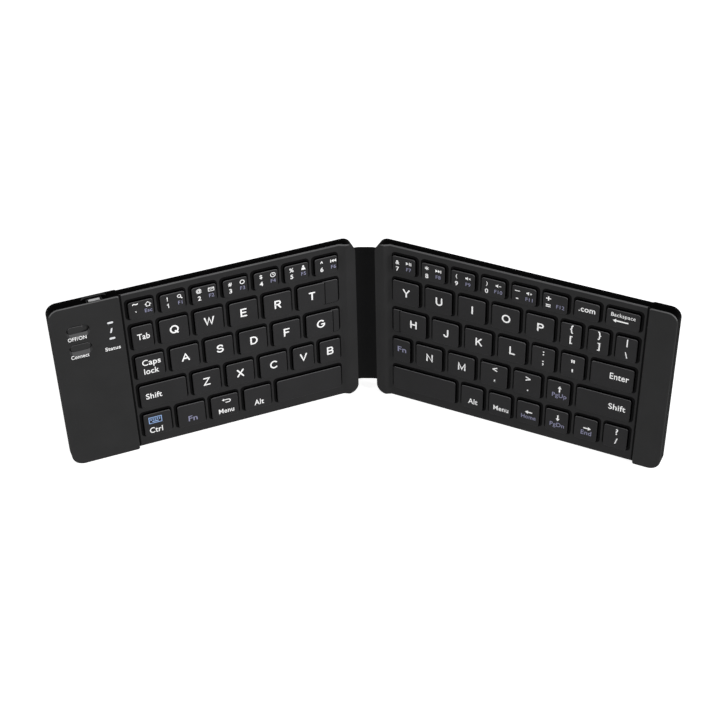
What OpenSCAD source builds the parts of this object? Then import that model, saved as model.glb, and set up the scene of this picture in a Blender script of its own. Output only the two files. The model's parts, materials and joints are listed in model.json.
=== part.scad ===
// Folding keyboard: two slim key panels joined by a flexible strip, standing on their front edges.
// Each half is drawn flat on the bench (x from the hinge edge outward, y from the front edge to the
// rear edge, z from the back face to the key tops) and is then stood up and turned to its fold angle.

/* [Panels] */
// Depth of the key deck, from its front edge to its rear edge
deck_d = 90.3; // [88:0.1:94]
// Thickness of a half at the key deck
deck_h = 5.1; // [5:0.1:6]
// Thickness of a half at its end block
block_h = 6.9; // [6.8:0.1:9]
// How far an end block stands proud of the deck at the front and at the rear
block_proud = 0.5; // [0.1:0.1:1.5]
// Width of the left end block, which holds the battery and the main board
block_w_left = 33; // [32.5:0.1:34]
// Radius of the outer front corners
corner_front_r = 6; // [3:0.1:8]
// Radius of the outer rear corners
corner_rear_r = 5; // [3:0.1:8]
// Radius of the corners beside the hinge
corner_inner_r = 5.2; // [2:0.1:6]
// Thickness of the deck plate and of the block covers
plate_t = 1; // [0.8:0.1:1.2]
// Thickness of the bottom shell's floor
floor_t = 1; // [0.8:0.1:1.2]
// Thickness of the upright walls
wall_t = 1.4; // [1:0.1:2]
// How far the underside is bevelled in around the back face
back_bevel = 1; // [0.6:0.1:2.4]
// Height of the raised band along the hinge edge, above the deck
band_rise = 1.5; // [0.5:0.1:1.8]
// Width of the raised band's flat top
band_flat = 4.9; // [3:0.1:5.5]
// Width of the slope from the band down to the deck
band_slope = 2.6; // [1:0.1:3]

/* [Fold] */
// Angle of each half from the flat position, as the keyboard stands open
fold_angle = 23.3; // [5:0.1:60]
// Distance between the two bending lines of the strip
axis_gap = 7.9; // [7.9:0.1:9]
// Distance from a bending line to the hinge edge of its half
axis_off = 2.25; // [1.1:0.05:3]
// Height of the strip's middle plane above the back face
hinge_h = 3.05; // [3:0.05:3.2]
// Thickness of the strip
strip_t = 1; // [0.8:0.1:1.1]
// Distance from the front and rear of a half to the strip
strip_from_edge = 5.95; // [5:0.05:15]
// How deep the strip is clamped inside each half
strip_clamp = 7; // [4:0.1:7.8]
// Gap at a bending line between the middle of the strip and its clamped ends
bend_gap = 0.05; // [0.03:0.01:0.1]

/* [Keys] */
// Distance from one letter key to the next along a row
letter_pitch = 17; // [16.6:0.1:17.1]
// Gap between the tops of two keys in a row
key_gap = 3.3; // [3:0.1:3.8]
// Gap between two rows of keys
row_gap = 4.3; // [3.6:0.1:4.6]
// Distance from the front edge of the deck to the keys
keys_from_front = 5.65; // [5:0.05:6.2]
// Distance from the rear edge of the deck to the keys
keys_from_rear = 5.15; // [5:0.05:6.2]
// Depth of a key in the number row
number_key_d = 9.5; // [8.5:0.1:9.8]
// How much narrower than the others the left number row's key beside the hinge is
edge_key_less = 0.5; // [0:0.1:2]
// Height of the key tops above the deck
key_rise = 1.1; // [0.6:0.1:1.2]
// How far a key travels
key_travel = 1; // [0.6:0.1:1]
// Gap around a key in its opening
key_clear = 0.4; // [0.3:0.05:0.6]
// Corner radius of the key tops
key_corner_r = 1; // [0.5:0.1:1.5]
// How far a key's retaining rim reaches under the deck
rim_reach = 0.5; // [0.4:0.05:0.6]
// Thickness of a key's retaining rim
rim_t = 0.6; // [0.4:0.1:0.6]
// Thickness of a keycap's walls and top
cap_t = 1; // [0.8:0.1:1.1]
// Distance from the hinge edge to the keys of the left half
keys_from_hinge_left = 9; // [9:0.1:10]
// Distance from the keys of the left half to its end block
keys_to_block_left = 3.5; // [3:0.1:5]
// Distance from the hinge edge to the keys of the right half
keys_from_hinge_right = 9; // [9:0.1:10.2]
// Distance from the keys of the right half to its end block
keys_to_block_right = 3.6; // [3:0.1:5]
// Width of the tab key
tab_w = 10; // [9:0.1:11]
// Width of the caps lock key
caps_w = 13.6; // [12:0.1:14]
// Width of the left shift key
shift_left_w = 22.9; // [20:0.1:24]
// Width of the narrow letter key beside the hinge
narrow_w = 10.7; // [10:0.1:11.5]
// Width of the ledge beside the wide letter key in the left top row
ledge_w = 6.9; // [6:0.1:8]
// Width of the backslash key
backslash_w = 10; // [9:0.1:10.5]
// Width of the bracket keys
bracket_w = 9.9; // [9:0.1:10.5]
// Width of the letter key beside the hinge in the right middle row
wide_letter_w = 17.5; // [16:0.1:18]
// Width of the semicolon, quote and up keys
punct_w = 11.2; // [10.5:0.1:11.8]
// Width of the function key beside the hinge on the right half
function_w = 9.1; // [8.5:0.1:10]
// How far the ledge beside a wide letter key lies below its top
ledge_drop = 0.4; // [0.2:0.05:0.6]
// Width of the slash key in the right bottom row
slash_w = 11.7; // [10.5:0.1:12]
// Width of the keys beside the right half of the space bar
bottom_key_w = 11.3; // [10.5:0.1:11.6]

/* [Inside the panels] */
// Thickness of the steel stiffening plate
steel_t = 0.4; // [0.3:0.05:0.5]
// Thickness of the membrane circuit
membrane_t = 0.2; // [0.15:0.05:0.25]
// Thickness of the rubber dome sheet between its domes
sheet_t = 0.2; // [0.15:0.05:0.25]
// Radius of a rubber dome at its foot
dome_r = 2.8; // [2:0.1:3.2]
// Radius of a rubber dome at its top, and of the stem that it carries
stem_r = 1.6; // [1:0.1:2]
// Radius of a closing magnet
magnet_r = 2.5; // [1.5:0.1:2.8]
// Thickness of a closing magnet
magnet_t = 1.6; // [1:0.1:2]
// Distance from the front edge to the middle of the front magnet
magnet_front_y = 14; // [10:0.5:25]
// Gap between the rear magnet and the circuit board, front to rear
magnet_to_board = 4; // [1:0.5:20]
// Radius of a rubber foot on the back
foot_r = 3.5; // [2:0.1:4]
// Distance from the edges to the middle of a rubber foot
foot_in = 12; // [9:0.5:15]
// Distance from the front and rear edges to the middle of a rubber foot at the outer end
end_foot_y = 18; // [12:0.5:25]
// How far a rubber foot stands out from the back
foot_rise = 0.4; // [0.2:0.1:0.8]
// How deep a rubber foot is seated
foot_seat = 0.3; // [0.2:0.1:0.5]
// Radius of a screw's shank
screw_r = 0.6; // [0.5:0.05:0.7]
// Radius of a screw's head
screw_head_r = 1.2; // [1:0.05:1.3]
// Thickness of a screw's head
screw_head_t = 0.5; // [0.3:0.05:0.6]
// Radius of the posts that the screws hold
boss_r = 1.7; // [1.5:0.1:1.9]

/* [Left block] */
// Thickness of the circuit board
board_t = 0.8; // [0.6:0.1:1]
// Depth of the circuit board, front to rear
board_d = 31; // [29:0.1:33]
// Length of the battery, front to rear
battery_d = 42; // [30:0.1:44]
// Width of the battery
battery_w = 20; // [15:0.1:21]
// Thickness of the battery
battery_t = 4.2; // [3:0.1:4.4]
// Length of the power switch's knob
knob_len = 7.4; // [6:0.1:7.6]
// Width of the power switch's knob and of the connect button
knob_d = 3.6; // [3:0.1:4]
// How far the power switch slides
switch_travel = 2.2; // [1.5:0.1:2.3]
// Length of the connect button
button_len = 9.4; // [8:0.1:9.6]
// How far the connect button travels
button_travel = 0.4; // [0.3:0.05:0.5]
// Depth of the dished finger recess around a control
dish_depth = 0.6; // [0.4:0.05:0.7]
// How far a finger recess reaches beyond its control, front and rear
dish_reach = 2.6; // [1.5:0.1:2.8]
// Distance from the outer end to the middle of the controls
control_from_end = 12.4; // [12:0.1:13]
// Distance from the rear edge to the middle of the power switch
switch_from_rear = 13; // [12:0.1:13.4]
// Distance from the middle of the power switch to the middle of the connect button
switch_to_connect = 10; // [9.6:0.1:10.4]
// Width of the charging socket
usb_w = 7.4; // [7.2:0.1:7.6]
// Thickness of the charging socket
usb_t = 2.6; // [2.4:0.1:2.7]
// Length of the charging socket
usb_d = 5; // [4.5:0.1:5.6]
// Wall thickness of the charging socket
usb_wall = 0.3; // [0.2:0.05:0.35]
// Distance from the deck to the middle of the charging socket
usb_from_deck = 10.8; // [10:0.1:12]
// Distance from the deck to the status lights
lights_from_deck = 5.6; // [4.5:0.1:6]
// Distance from the rear edge to the middle status light
lights_from_rear = 17.7; // [17:0.1:18.3]
// Distance from one status light to the next
lights_pitch = 4.4; // [4:0.1:4.8]
// Length of a bar-shaped status light
light_len = 2.8; // [2.5:0.1:3.8]
// Width of a bar-shaped status light
light_d = 1.1; // [0.8:0.1:1.3]

/* [Hidden] */
$fn = 32;
eps = 0.01;
fit = 0.05;               // clearance of pieces that are assembled and stay put
slide_fit = 0.2;          // clearance of pieces that slide
screw_fit = 0.02;

half_d = deck_d + 2 * block_proud;
deck_y0 = block_proud;
deck_y1 = block_proud + deck_d;
part_z = hinge_h - strip_t / 2;       // joint line between the bottom shell and what lies on it
bevel_top = back_bevel;               // the side wall is upright above this height
strip_y0 = strip_from_edge;
strip_len = half_d - 2 * strip_from_edge;
back_wall = back_bevel + 0.6;         // the floor's wall, which has to cover the bevel
deck_under = deck_h - plate_t;
cover_under = block_h - plate_t;
key_top = deck_h + key_rise;
rim_top = deck_under - 0.1;
rim_z = rim_top - rim_t;
letter_w = letter_pitch - key_gap;
rim_out = key_clear + rim_reach;
steel_z = floor_t;
membrane_z = steel_z + steel_t;
sheet_z = membrane_z + membrane_t;
sheet_top = sheet_z + sheet_t;
sheet_margin = 0.8;                   // dome sheet, membrane and steel reach past the keys by this

// The letter rows' keys set the width of each key field, and the left half's pieces the width of both
keys_w_left = tab_w + 5 * letter_pitch + ledge_w;
keys_w_right = 5 * letter_pitch + 2 * (bracket_w + key_gap) + backslash_w;
block_x_left = keys_from_hinge_left + keys_w_left + keys_to_block_left;
block_x_right = keys_from_hinge_right + keys_w_right + keys_to_block_right;
half_w = block_x_left + block_w_left;
number_key_w = (keys_w_left + key_gap + edge_key_less) / 7 - key_gap;
key_d = (deck_d - keys_from_front - keys_from_rear - number_key_d - 4 * row_gap) / 4;

// Key rows, each from its first key to its last; one key in each fills what the others leave.
fill = 0;
left_rows = [
    [["esc", number_key_w], ["1", number_key_w], ["2", number_key_w], ["3", number_key_w],
     ["4", number_key_w], ["5", number_key_w], ["6", fill]],
    [["tab", tab_w], ["q", letter_w], ["w", letter_w], ["e", letter_w], ["r", letter_w],
     ["t", letter_w + ledge_w]],
    [["caps", caps_w], ["a", letter_w], ["s", letter_w], ["d", letter_w], ["f", letter_w], ["g", fill]],
    [["shift", shift_left_w], ["z", letter_w], ["x", letter_w], ["c", letter_w], ["v", narrow_w],
     ["b", fill]],
    [["ctrl", letter_w], ["fn", letter_w], ["system", letter_w], ["alt", letter_w], ["space", fill]]
];
right_rows = [
    [["7", number_key_w], ["8", number_key_w], ["9", number_key_w], ["0", number_key_w],
     ["minus", number_key_w], ["equals", number_key_w], ["dotcom", number_key_w], ["backspace", fill]],
    [["y", letter_w], ["u", letter_w], ["i", letter_w], ["o", letter_w], ["p", letter_w],
     ["open_bracket", bracket_w], ["close_bracket", bracket_w], ["backslash", backslash_w]],
    [["h", wide_letter_w], ["j", letter_w], ["k", letter_w], ["l", letter_w], ["semicolon", punct_w],
     ["quote", punct_w], ["enter", fill]],
    [["fn_right", function_w], ["n", letter_w], ["m", letter_w], ["comma", letter_w],
     ["period", letter_w], ["up", punct_w], ["shift_right", fill]],
    [["space", fill], ["alt_right", bottom_key_w], ["system_right", bottom_key_w],
     ["left", bottom_key_w], ["down", bottom_key_w], ["right", bottom_key_w], ["slash", slash_w]]
];
NUMBER_KEYS_LEFT = ["esc", "1", "2", "3", "4", "5", "6"];
NUMBER_KEYS_RIGHT = ["7", "8", "9", "0", "minus", "equals", "dotcom", "backspace"];
COMMAND_KEYS_LEFT = ["tab", "caps", "shift", "ctrl", "fn", "system", "alt"];
COMMAND_KEYS_RIGHT = ["open_bracket", "close_bracket", "backslash", "semicolon", "quote", "enter",
    "fn_right", "comma", "period", "up", "shift_right", "alt_right", "system_right", "left", "down",
    "right", "slash"];

function total(row, n) = n <= 0 ? 0 : row[n - 1][1] + total(row, n - 1);
function key_width(row, i, span) =
    row[i][1] > 0 ? row[i][1] : span - total(row, len(row)) - key_gap * (len(row) - 1);
function key_start(row, i, span) =
    i == 0 ? 0 : key_start(row, i - 1, span) + key_width(row, i - 1, span) + key_gap;
function row_d(r) = r == 0 ? number_key_d : key_d;
keys_d = number_key_d + 4 * key_d + 4 * row_gap;
keys_y0 = deck_y0 + keys_from_front;
function row_y(r) = r == 0 ? keys_y0 + 4 * (key_d + row_gap) : keys_y0 + (4 - r) * (key_d + row_gap);

// Places on a half that several pieces share, as [x, y]
screw_in = back_bevel + screw_head_r + 1.4;      // from the outer walls to the block screws
inner_screws = [[corner_inner_r, strip_y0 - boss_r - 0.15],
    [corner_inner_r, half_d - strip_y0 + boss_r + 0.15]];
block_screws = [[half_w - screw_in, screw_in + 0.4], [half_w - screw_in, half_d - screw_in]];
magnet_in = back_wall + magnet_r + 0.3;          // from the outer wall to the magnets
board_y1 = half_d - back_wall - 0.2;
board_y0 = board_y1 - board_d;
magnets = [[half_w - magnet_in, magnet_front_y], [half_w - magnet_in, board_y0 - magnet_to_board - magnet_r]];
feet = [[foot_in, foot_in], [foot_in, half_d - foot_in],
    [half_w - foot_in, end_foot_y], [half_w - foot_in, half_d - end_foot_y]];

control_x = half_w - control_from_end;
switch_y = half_d - switch_from_rear;
connect_y = switch_y - switch_to_connect;
usb_x = block_x_left + usb_from_deck;
lights_x = block_x_left + lights_from_deck;
lights_y = half_d - lights_from_rear;
board_z = membrane_z + membrane_t;
board_top = board_z + board_t;
board_x0 = block_x_left + 2.4;
board_x1 = half_w - screw_in - boss_r - 0.3;
board_post_in = 2;                    // from the board's edges to the posts that carry it
battery_x0 = block_x_left + wall_t + 0.4;
battery_y0 = back_wall + 1.4;
usb_recess = 1;                       // the plug's collar sinks into the rear wall by this much
usb_recess_w = 12;
usb_recess_t = 5;
usb_y1 = half_d - usb_recess;
usb_z = board_top + usb_t / 2;
dish_z = block_h - dish_depth;
dish_lip = 0.5;
cover_edge = 0.4;                     // chamfer around the top of a block cover
slot_len = knob_len + switch_travel + 2 * slide_fit;
knob_rim = 0.6;                       // the knob and the button are held in by a rim of this width
knob_rim_t = 0.5;
knob_rim_z = cover_under - fit - knob_rim_t;
knob_top = block_h - 0.15;
switch_top = board_top + 1.4;         // slide switch on the board
tact_top = board_top + 2;             // push switch on the board
board_post_r = 1.2;
tail_y = board_y0 + board_post_in + board_post_r + 0.5;   // ribbon from the left membrane to the board
tail_w = 8;
ribbon_w = 12;
ribbon_t = 0.2;

// World frame: origin under the middle of the standing keyboard's box, keys facing -y
front_y = -(axis_off + half_w - cover_edge) * sin(fold_angle) - (block_h - hinge_h) * cos(fold_angle);
rear_y = hinge_h * cos(fold_angle) - (axis_off + back_bevel) * sin(fold_angle);
shift_y = -(front_y + max(rear_y, strip_t / 2)) / 2;

// ---- placing ----

module on_right() {
    translate([axis_gap / 2, shift_y, 0])
        rotate([0, 0, -fold_angle])
            translate([axis_off, hinge_h, 0])
                rotate([90, 0, 0])
                    children();
}

module on_left() {
    mirror([1, 0, 0])
        on_right()
            children();
}

module at_height(z) {
    translate([0, 0, z])
        children();
}

// ---- outlines ----

// Rectangle with its own radius at each corner; radii: [x0 y0, x1 y0, x1 y1, x0 y1]
module rounded(x0, y0, x1, y1, radii) {
    corners = [[x0, y0, 0, 0], [x1, y0, 1, 0], [x1, y1, 1, 1], [x0, y1, 0, 1]];
    difference() {
        translate([x0, y0])
            square([x1 - x0, y1 - y0]);
        for (i = [0:3])
            if (radii[i] > 0)
                translate([corners[i][0], corners[i][1]])
                    mirror([corners[i][2], 0])
                        mirror([0, corners[i][3]])
                            corner_waste(radii[i]);
    }
}

module corner_waste(r) {
    difference() {
        translate([-eps, -eps])
            square(r + eps);
        translate([r, r])
            circle(r);
    }
}

module pill(len, d) {
    for (s = [-1, 1])
        translate([s * (len - d) / 2, 0])
            circle(d = d);
    square([len - d, d], center = true);
}

// Outline of the deck part of a half, out to x1, moved in by m on its free sides
module deck_outline(x1, m) {
    r = max(corner_inner_r - m, 0.5);
    rounded(m, deck_y0 + m, x1, deck_y1 - m, [r, 0, 0, r]);
}

// Outline of an end block from x0, moved in by m all around
module block_outline(x0, m) {
    rounded(x0 + m, m, half_w - m, half_d - m,
        [1, max(corner_front_r - m, 0.5), max(corner_rear_r - m, 0.5), 1]);
}

module slab(z0, z1) {
    translate([0, 0, z0])
        linear_extrude(z1 - z0)
            children();
}

module post(place, z0, z1, r) {
    translate([place[0], place[1], z0])
        cylinder(r = r, h = z1 - z0);
}

// ---- places of the keys ----

function listed(name, names) = len([for (n = names) if (n == name) n]) > 0;

// Three wide letter keys have a lower ledge on their hinge side
function ledge(name, w) = listed(name, ["t", "g", "h"]) ? w - letter_w : 0;

// The left half's keys that names lists, each as [x, y, width, depth, ledge]
function left_keys(names) = [for (r = [0:4]) for (i = [0:len(left_rows[r]) - 1])
    if (listed(left_rows[r][i][0], names))
        let (w = key_width(left_rows[r], i, keys_w_left))
            [keys_from_hinge_left + keys_w_left - key_start(left_rows[r], i, keys_w_left) - w, row_y(r), w, row_d(r),
                ledge(left_rows[r][i][0], w)]];

// The right half's keys that names lists, each as [x, y, width, depth, ledge]
function right_keys(names) = [for (r = [0:4]) for (i = [0:len(right_rows[r]) - 1])
    if (listed(right_rows[r][i][0], names))
        let (w = key_width(right_rows[r], i, keys_w_right))
            [keys_from_hinge_right + key_start(right_rows[r], i, keys_w_right), row_y(r), w, row_d(r),
                ledge(right_rows[r][i][0], w)]];

all_left_keys = left_keys([for (row = left_rows) for (key = row) key[0]]);
all_right_keys = right_keys([for (row = right_rows) for (key = row) key[0]]);

module key_outline(k, grow) {
    r = key_corner_r + max(grow, -0.5 * key_corner_r);
    rounded(k[0] - grow, k[1] - grow, k[0] + k[2] + grow, k[1] + k[3] + grow, [r, r, r, r]);
}

module keycaps(keys) {
    for (k = keys)
        color([0.19, 0.19, 0.19])
            keycap(k);
}

module keycap(k) {
    difference() {
        union() {
            slab(rim_z, rim_z + rim_t)
                key_outline(k, rim_out);
            slab(rim_z, k[4] > 0 ? key_top - ledge_drop : key_top)
                key_outline(k, 0);
            if (k[4] > 0)
                slab(rim_z, key_top)
                    key_outline([k[0] + k[4], k[1], k[2] - k[4], k[3]], 0);
        }
        slab(rim_z - eps, key_top - cap_t)
            key_outline(k, -cap_t);
    }
    post([k[0] + k[2] / 2, k[1] + k[3] / 2], rim_z, key_top - cap_t + eps, stem_r);
}

// ---- shells ----

module bevelled_slab() {
    hull() {
        slab(0, eps)
            children(0);
        slab(bevel_top - eps, bevel_top)
            children(1);
    }
    slab(bevel_top, part_z)
        children(1);
}

module bottom_shell(block_x) {
    magnet_z = cover_under - fit - magnet_t;
    color([0.17, 0.17, 0.17])
        difference() {
            union() {
                difference() {
                    union() {
                        bevelled_slab() {
                            deck_outline(block_x + back_wall, back_bevel);
                            deck_outline(block_x + back_wall, 0);
                        }
                        bevelled_slab() {
                            block_outline(block_x, back_bevel);
                            block_outline(block_x, 0);
                        }
                    }
                    slab(floor_t, part_z + 1)
                        bottom_pocket(block_x);
                }
                for (p = concat(inner_screws, block_screws))
                    post(p, floor_t - eps, part_z, boss_r);
                for (p = magnets)
                    post(p, floor_t - eps, magnet_z, magnet_r);
            }
            for (p = feet)
                post(p, -eps, foot_seat, foot_r + fit);
            for (p = concat(inner_screws, block_screws)) {
                post(p, -eps, screw_head_t + 0.1, screw_head_r + 0.1);
                post(p, -eps, part_z + 1, screw_r + 0.1);
            }
            children();
        }
}

module bottom_pocket(block_x) {
    deck_outline(block_x + back_wall + 1, back_wall);
    block_outline(block_x - back_wall, back_wall);
}

module deck(block_x, keys) {
    color([0.18, 0.18, 0.18])
        difference() {
            union() {
                difference() {
                    slab(part_z, deck_h + band_rise)
                        deck_outline(block_x, 0);
                    slab(part_z - 1, deck_under)
                        deck_outline(block_x + 1, wall_t);
                }
                for (p = inner_screws)
                    post(p, part_z, deck_under + eps, boss_r);
            }
            for (p = inner_screws)
                post(p, part_z - 1, deck_under, screw_r + screw_fit);
            for (k = keys)
                slab(part_z, deck_h + 1)
                    key_outline(k, key_clear);
            strip_slot();
            above_deck(block_x);
        }
}

module strip_slot() {
    translate([-1, strip_y0 - fit, part_z - 1])
        cube([strip_clamp + 2, strip_len + 2 * fit, strip_t + fit + 1]);
}

// What the deck leaves free above it, beside the raised band along the hinge edge
module above_deck(block_x) {
    translate([0, half_d + 1, 0])
        rotate([90, 0, 0])
            linear_extrude(half_d + 2)
                polygon([[band_flat, deck_h + band_rise], [band_flat + band_slope, deck_h],
                    [block_x + 1, deck_h], [block_x + 1, block_h + 1], [band_flat, block_h + 1]]);
}

module block_cover(block_x) {
    color([0.18, 0.18, 0.18])
        difference() {
            union() {
                difference() {
                    hull() {
                        slab(part_z, block_h - cover_edge)
                            block_outline(block_x, 0);
                        slab(block_h - eps, block_h)
                            block_outline(block_x, cover_edge);
                    }
                    slab(part_z - 1, cover_under)
                        block_outline(block_x, wall_t);
                }
                for (p = block_screws)
                    post(p, part_z, cover_under + eps, boss_r);
            }
            for (p = block_screws)
                post(p, part_z - 1, deck_under, screw_r + screw_fit);
            children();
        }
}

// Finger recess around a slot of the given length, with its lit slope on the front side
module dish(x, y, len) {
    hull() {
        translate([x, y, dish_z])
            linear_extrude(eps)
                pill(len + 0.4, knob_d + 0.4);
        translate([x, y + (dish_lip - dish_reach) / 2, block_h])
            linear_extrude(eps)
                pill(len + 1.2, knob_d + dish_lip + dish_reach);
    }
    translate([x, y, 0])
        slab(cover_under - 1, block_h)
            pill(len, knob_d + 2 * slide_fit);
}

module light_shapes(grow) {
    for (s = [-1, 1])
        translate([lights_x, lights_y + s * lights_pitch])
            pill(light_len + 2 * grow, light_d + 2 * grow);
    translate([lights_x, lights_y])
        bolt_mark(grow);
}

// Slanting charge mark between the two bars
module bolt_mark(grow) {
    half_l = light_d + 0.2 + grow;
    foot_x = -0.05 - grow;
    mark_w = 0.8 + 2 * grow;
    lean = -0.7;
    polygon([[foot_x, -half_l], [foot_x + mark_w, -half_l], [foot_x + mark_w + lean, half_l],
        [foot_x + lean, half_l]]);
}

module usb_opening() {
    translate([usb_x - usb_w / 2 - fit, usb_y1 - usb_d - 1, board_top - fit])
        cube([usb_w + 2 * fit, usb_d + 3, usb_t + 2 * fit]);
    translate([usb_x, half_d - usb_recess, usb_z])
        rotate([-90, 0, 0])
            linear_extrude(usb_recess + 1)
                pill(usb_recess_w, usb_recess_t);
}

module bottom_shell_left() {
    on_left() {
        bottom_shell(block_x_left)
            usb_opening();
        color([0.17, 0.17, 0.17])
            for (p = board_posts())
                post(p, floor_t - eps, board_z, board_post_r);
    }
}

function board_posts() = [for (x = [board_x0, board_x1]) for (y = [board_y0, board_y1])
    [x + (x == board_x0 ? board_post_in : -board_post_in),
     y + (y == board_y0 ? board_post_in : -board_post_in)]];

module bottom_shell_right() {
    on_right()
        bottom_shell(block_x_right);
}

module deck_left() {
    on_left()
        deck(block_x_left, all_left_keys);
}

module deck_right() {
    on_right()
        deck(block_x_right, all_right_keys);
}

module block_cover_left() {
    on_left()
        block_cover(block_x_left) {
            dish(control_x, switch_y, slot_len);
            dish(control_x, connect_y, button_len + 2 * slide_fit);
            slab(cover_under - 1, block_h + 1)
                light_shapes(fit);
            usb_opening();
        }
}

module block_cover_right() {
    on_right()
        block_cover(block_x_right);
}

// ---- inside the panels ----

module sheet_outline(keys_x, keys_w) {
    translate([keys_x - sheet_margin, keys_y0 - sheet_margin])
        square([keys_w + 2 * sheet_margin, keys_d + 2 * sheet_margin]);
}

module steel_plate(keys_x, keys_w) {
    color([0.6, 0.61, 0.63])
        slab(steel_z, steel_z + steel_t)
            sheet_outline(keys_x, keys_w);
}

module membrane(keys_x, keys_w) {
    color([0.75, 0.78, 0.7])
        slab(membrane_z, membrane_z + membrane_t)
            sheet_outline(keys_x, keys_w);
}

module dome_sheet(keys_x, keys_w, keys) {
    color([0.8, 0.8, 0.78]) {
        slab(sheet_z, sheet_top)
            sheet_outline(keys_x, keys_w);
        for (k = keys)
            translate([k[0] + k[2] / 2, k[1] + k[3] / 2, sheet_top - eps])
                cylinder(r1 = dome_r, r2 = stem_r, h = rim_z - screw_fit - sheet_top + eps);
    }
}

module steel_plate_left() {
    on_left()
        steel_plate(keys_from_hinge_left, keys_w_left);
}

module steel_plate_right() {
    on_right()
        steel_plate(keys_from_hinge_right, keys_w_right);
}

module membrane_left() {
    tail_x = keys_from_hinge_left + keys_w_left;
    on_left() {
        membrane(keys_from_hinge_left, keys_w_left);
        color([0.75, 0.78, 0.7])
            translate([tail_x, tail_y, membrane_z])
                cube([board_x0 + board_post_in * 2 - tail_x, tail_w, membrane_t]);
    }
}

module membrane_right() {
    on_right()
        membrane(keys_from_hinge_right, keys_w_right);
}

module dome_sheet_left() {
    on_left()
        dome_sheet(keys_from_hinge_left, keys_w_left, all_left_keys);
}

module dome_sheet_right() {
    on_right()
        dome_sheet(keys_from_hinge_right, keys_w_right, all_right_keys);
}

module rubber_feet() {
    color([0.08, 0.08, 0.08])
        for (p = feet)
            post(p, -foot_rise, foot_seat, foot_r);
}

module feet_left() {
    on_left()
        rubber_feet();
}

module feet_right() {
    on_right()
        rubber_feet();
}

module screws() {
    color([0.5, 0.5, 0.52])
        for (p = concat(inner_screws, block_screws)) {
            post(p, 0.1, 0.1 + screw_head_t, screw_head_r);
            post(p, screw_head_t, deck_under - 0.3, screw_r);
        }
}

module screws_left() {
    on_left()
        screws();
}

module screws_right() {
    on_right()
        screws();
}

module closing_magnets() {
    color([0.7, 0.7, 0.72])
        for (p = magnets)
            post(p, cover_under - fit - magnet_t, cover_under - fit, magnet_r);
}

module magnets_left() {
    on_left()
        closing_magnets();
}

module magnets_right() {
    on_right()
        closing_magnets();
}

// ---- left block ----

module battery() {
    color([0.55, 0.57, 0.6])
        on_left()
            translate([battery_x0, battery_y0, floor_t])
                cube([battery_w, battery_d, battery_t]);
}

module main_board() {
    on_left() {
        color([0.06, 0.3, 0.16])
            translate([board_x0, board_y0, board_z])
                cube([board_x1 - board_x0, board_d, board_t]);
        color([0.1, 0.1, 0.1]) {
            translate([control_x, switch_y, 0])
                slab(board_top, switch_top)
                    square([6.6, 2.8], center = true);
            translate([control_x, connect_y, 0])
                slab(board_top, tact_top)
                    square([4, 3], center = true);
            translate([lights_x + 3, board_y0 + 3, board_top])
                cube([6, 6, 0.9]);
        }
    }
}

module charging_socket() {
    color([0.8, 0.8, 0.82])
        on_left()
            translate([usb_x, usb_y1 - usb_d, usb_z])
                rotate([-90, 0, 0])
                    socket_shell();
}

module socket_shell() {
    tongue_w = usb_w - 2.4;
    tongue_t = 0.8;
    difference() {
        linear_extrude(usb_d)
            socket_outline(0);
        at_height(0.5)
            linear_extrude(usb_d)
                socket_outline(usb_wall);
    }
    translate([-tongue_w / 2, -tongue_t / 2, 0])
        cube([tongue_w, tongue_t, usb_d - 0.3]);
}

// Wider towards the board's far side, with the two lower corners cut
module socket_outline(m) {
    x = usb_w / 2 - m;
    y = usb_t / 2 - m;
    cut = 0.8;
    polygon([[-x, -y], [x, -y], [x, y - cut], [x - cut, y], [-x + cut, y], [-x, y - cut]]);
}

module at_height(z) {
    translate([0, 0, z])
        children();
}

module held_button(len, rim_len) {
    slab(knob_rim_z, knob_top)
        pill(len, knob_d);
    slab(knob_rim_z, knob_rim_z + knob_rim_t)
        pill(rim_len, knob_d + 2 * knob_rim);
}

module power_switch_knob() {
    color([0.15, 0.15, 0.15])
        on_left()
            translate([control_x + switch_travel / 2, switch_y, 0]) {
                held_button(knob_len, knob_len + 2 * (knob_rim + slide_fit + switch_travel));
                slab(switch_top + 0.1, knob_rim_z + eps)
                    square([1.6, 1.6], center = true);
            }
}

module connect_button() {
    color([0.15, 0.15, 0.15])
        on_left()
            translate([control_x, connect_y, 0]) {
                held_button(button_len, button_len + 2 * knob_rim);
                slab(tact_top + button_travel + fit, knob_rim_z + eps)
                    square([2, 1.6], center = true);
            }
}

module status_lights() {
    color([0.9, 0.92, 0.95])
        on_left()
            slab(board_top, block_h - 0.02)
                light_shapes(0);
}

// ---- hinge strip ----

module strip_end() {
    color([0.07, 0.07, 0.07])
        translate([-axis_off + strip_t / 2 + bend_gap, strip_y0, part_z])
            cube([strip_clamp + axis_off - strip_t / 2 - bend_gap, strip_len, strip_t]);
}

module strip_end_left() {
    on_left()
        strip_end();
}

module strip_end_right() {
    on_right()
        strip_end();
}

module strip_middle() {
    color([0.07, 0.07, 0.07])
        translate([0, shift_y, strip_y0])
            difference() {
                linear_extrude(strip_len) {
                    square([axis_gap, strip_t], center = true);
                    for (s = [-1, 1])
                        translate([s * axis_gap / 2, 0])
                            circle(d = strip_t);
                }
                ribbon_space(fit);
            }
}

module ribbon_space(grow) {
    translate([-axis_gap / 2 - grow, -ribbon_t / 2 - grow, (strip_len - ribbon_w) / 2 - grow])
        cube([axis_gap + 2 * grow, ribbon_t + 2 * grow, ribbon_w + 2 * grow]);
}

module ribbon_cable() {
    color([0.75, 0.45, 0.15])
        translate([0, shift_y, strip_y0])
            ribbon_space(0);
}

// ---- the keys of both halves ----

module left(names) {
    on_left()
        keycaps(left_keys(names));
}

module right(names) {
    on_right()
        keycaps(right_keys(names));
}

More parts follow.
